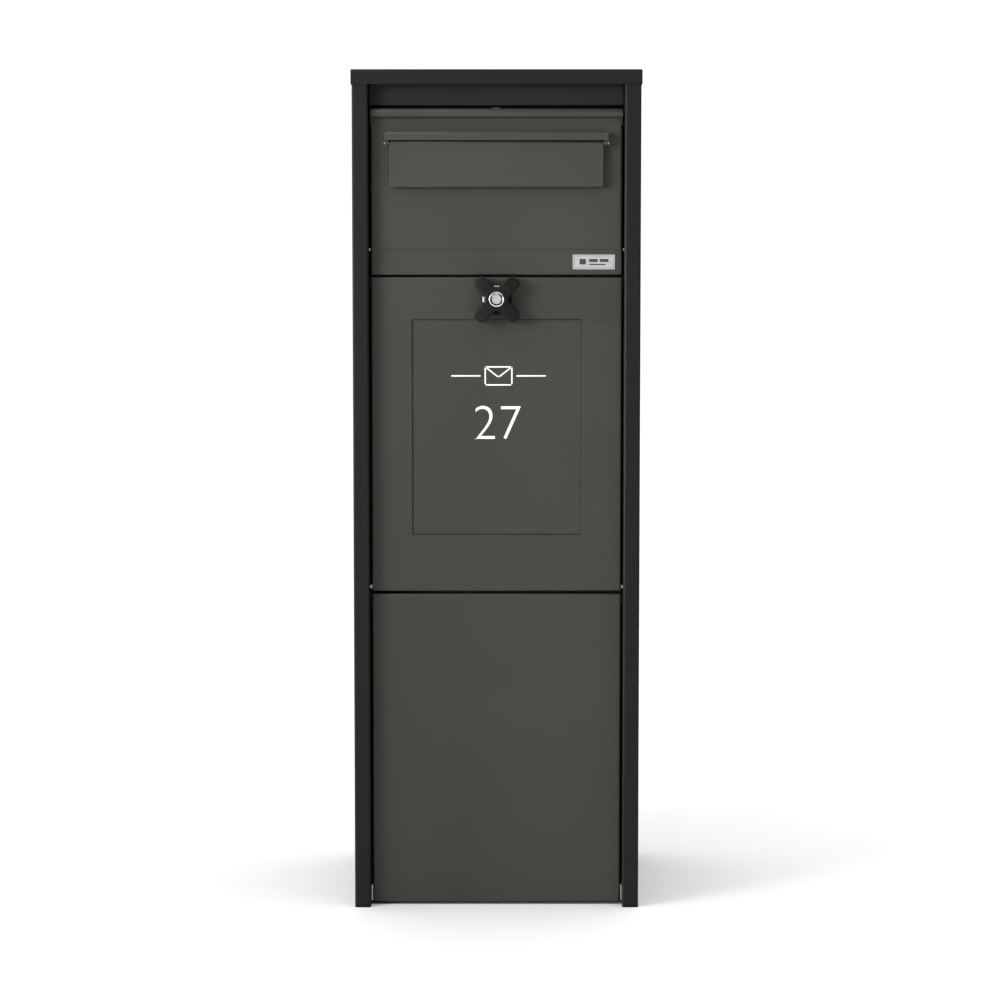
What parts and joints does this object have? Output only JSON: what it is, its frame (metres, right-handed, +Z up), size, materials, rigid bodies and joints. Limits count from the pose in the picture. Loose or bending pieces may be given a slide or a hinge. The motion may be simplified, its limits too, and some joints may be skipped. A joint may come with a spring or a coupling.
{
  "type": "letter and parcel box",
  "caption": "Free-standing steel box for letters and parcels, with a hooded letter flap in a tipping hatch, a drop-down parcel door with a locking knob, and a lower panel.",
  "frame": {"origin": "centre of the four anchor holes, on the underside of the base plate at floor level", "axes": "+Z up, -Y out of the front, +X to the right seen from the front"},
  "size_m": [0.4326, 0.3891, 1.26],
  "materials": {
    "body_coat": "fine-texture black powder coat",
    "header_coat": "fine-texture black powder coat",
    "inner_coat": "grey powder coat",
    "foot_plastic": "moulded black plastic",
    "zinc": "zinc plated",
    "rubber_stop": "moulded rubber",
    "dark_fastener": "black coated steel",
    "front_coat": "fine-texture warm grey powder coat",
    "liner_coat": "smooth grey powder coat",
    "label_metal": "brushed and anodised",
    "stud_plastic": "moulded plastic",
    "knob_plastic": "fine moulded texture",
    "nickel": "satin nickel plate",
    "steel": "plain zinc plated steel"
  },
  "bodies": {
    "housing": {"side_left": "body_coat", "side_right": "body_coat", "back_panel": "body_coat", "roof_cap": "body_coat", "header_panel": "header_coat", "latch_rail": "inner_coat", "parcel_shelf": "inner_coat", "base_tray": "inner_coat", "guard_baffle": "inner_coat", "foot_caps": "foot_plastic", "hatch_pins": "zinc", "door_pins": "zinc", "lower_brackets": "zinc", "lower_pins": "zinc", "rest_bumpers": "rubber_stop", "body_rivets": "dark_fastener", "cap_screws": "dark_fastener"},
    "hatch": {"hatch_panel": "front_coat", "slot_plate": "front_coat", "slot_hood": "front_coat", "hatch_stiffener": "front_coat", "hopper_cheek_left": "inner_coat", "hopper_cheek_right": "inner_coat", "hopper_tray": "inner_coat", "hopper_rivets": "zinc", "label_plate": "label_metal", "hatch_stud": "stud_plastic", "hatch_bushes": "foot_plastic", "flap_rod": "zinc", "flap_bumpers": "rubber_stop"},
    "flap": {"letter_flap": "front_coat"},
    "parcel_door": {"door_skin": "front_coat", "door_liner": "liner_coat", "name_panel": "front_coat", "door_rivets": "front_coat", "door_bushes": "zinc", "knob_rosette": "knob_plastic"},
    "knob": {"knob": "knob_plastic", "knob_shaft": "steel", "lock_housing": "nickel", "door_cam": "steel", "cam_nut": "zinc"},
    "plug": {"lock_plug": "nickel"},
    "detent": {"detent_pin": "steel"},
    "lower_panel": {"lower_skin": "front_coat", "lower_liner": "liner_coat", "lower_rivets": "front_coat", "lower_bushes": "zinc", "latch_keeper": "steel"},
    "panel_latch": {"latch_turn": "knob_plastic", "latch_cam": "steel", "latch_nut": "zinc"}
  },
  "joints": [
    {"name": "hatch_tip", "type": "hinge", "parent": "housing", "child": "hatch", "pos_m": [0, -0.1645, 0.995], "axis": [1, 0, 0], "range_deg": [0, 55]},
    {"name": "flap_lift", "type": "hinge", "parent": "hatch", "child": "flap", "pos_m": [0, -0.1805, 1.152], "axis": [-1, 0, 0], "range_deg": [0, 85]},
    {"name": "door_drop", "type": "hinge", "parent": "housing", "child": "parcel_door", "pos_m": [0, -0.1655, 0.4873], "axis": [1, 0, 0], "range_deg": [0, 95]},
    {"name": "knob_turn", "type": "hinge", "parent": "parcel_door", "child": "knob", "pos_m": [0, -0.18, 0.9203], "axis": [0, -1, 0], "range_deg": [0, 90]},
    {"name": "key_turn", "type": "hinge", "parent": "knob", "child": "plug", "pos_m": [0, -0.18, 0.9203], "axis": [0, -1, 0], "range_deg": [0, 90]},
    {"name": "detent_slide", "type": "slide", "parent": "knob", "child": "detent", "axis": [0, 1, 0], "range_m": [0, 0.0025]},
    {"name": "panel_drop", "type": "hinge", "parent": "housing", "child": "lower_panel", "pos_m": [0, -0.1655, 0.027], "axis": [1, 0, 0], "range_deg": [0, 90]},
    {"name": "latch_turn", "type": "hinge", "parent": "housing", "child": "panel_latch", "pos_m": [0, -0.132, 0.47], "axis": [0, 0, 1], "range_deg": [0, 90]}
  ],
  "couplings": [
    {"joint": "detent_slide", "follows": "key_turn", "m_per_rad": 0.0015852}
  ]
}
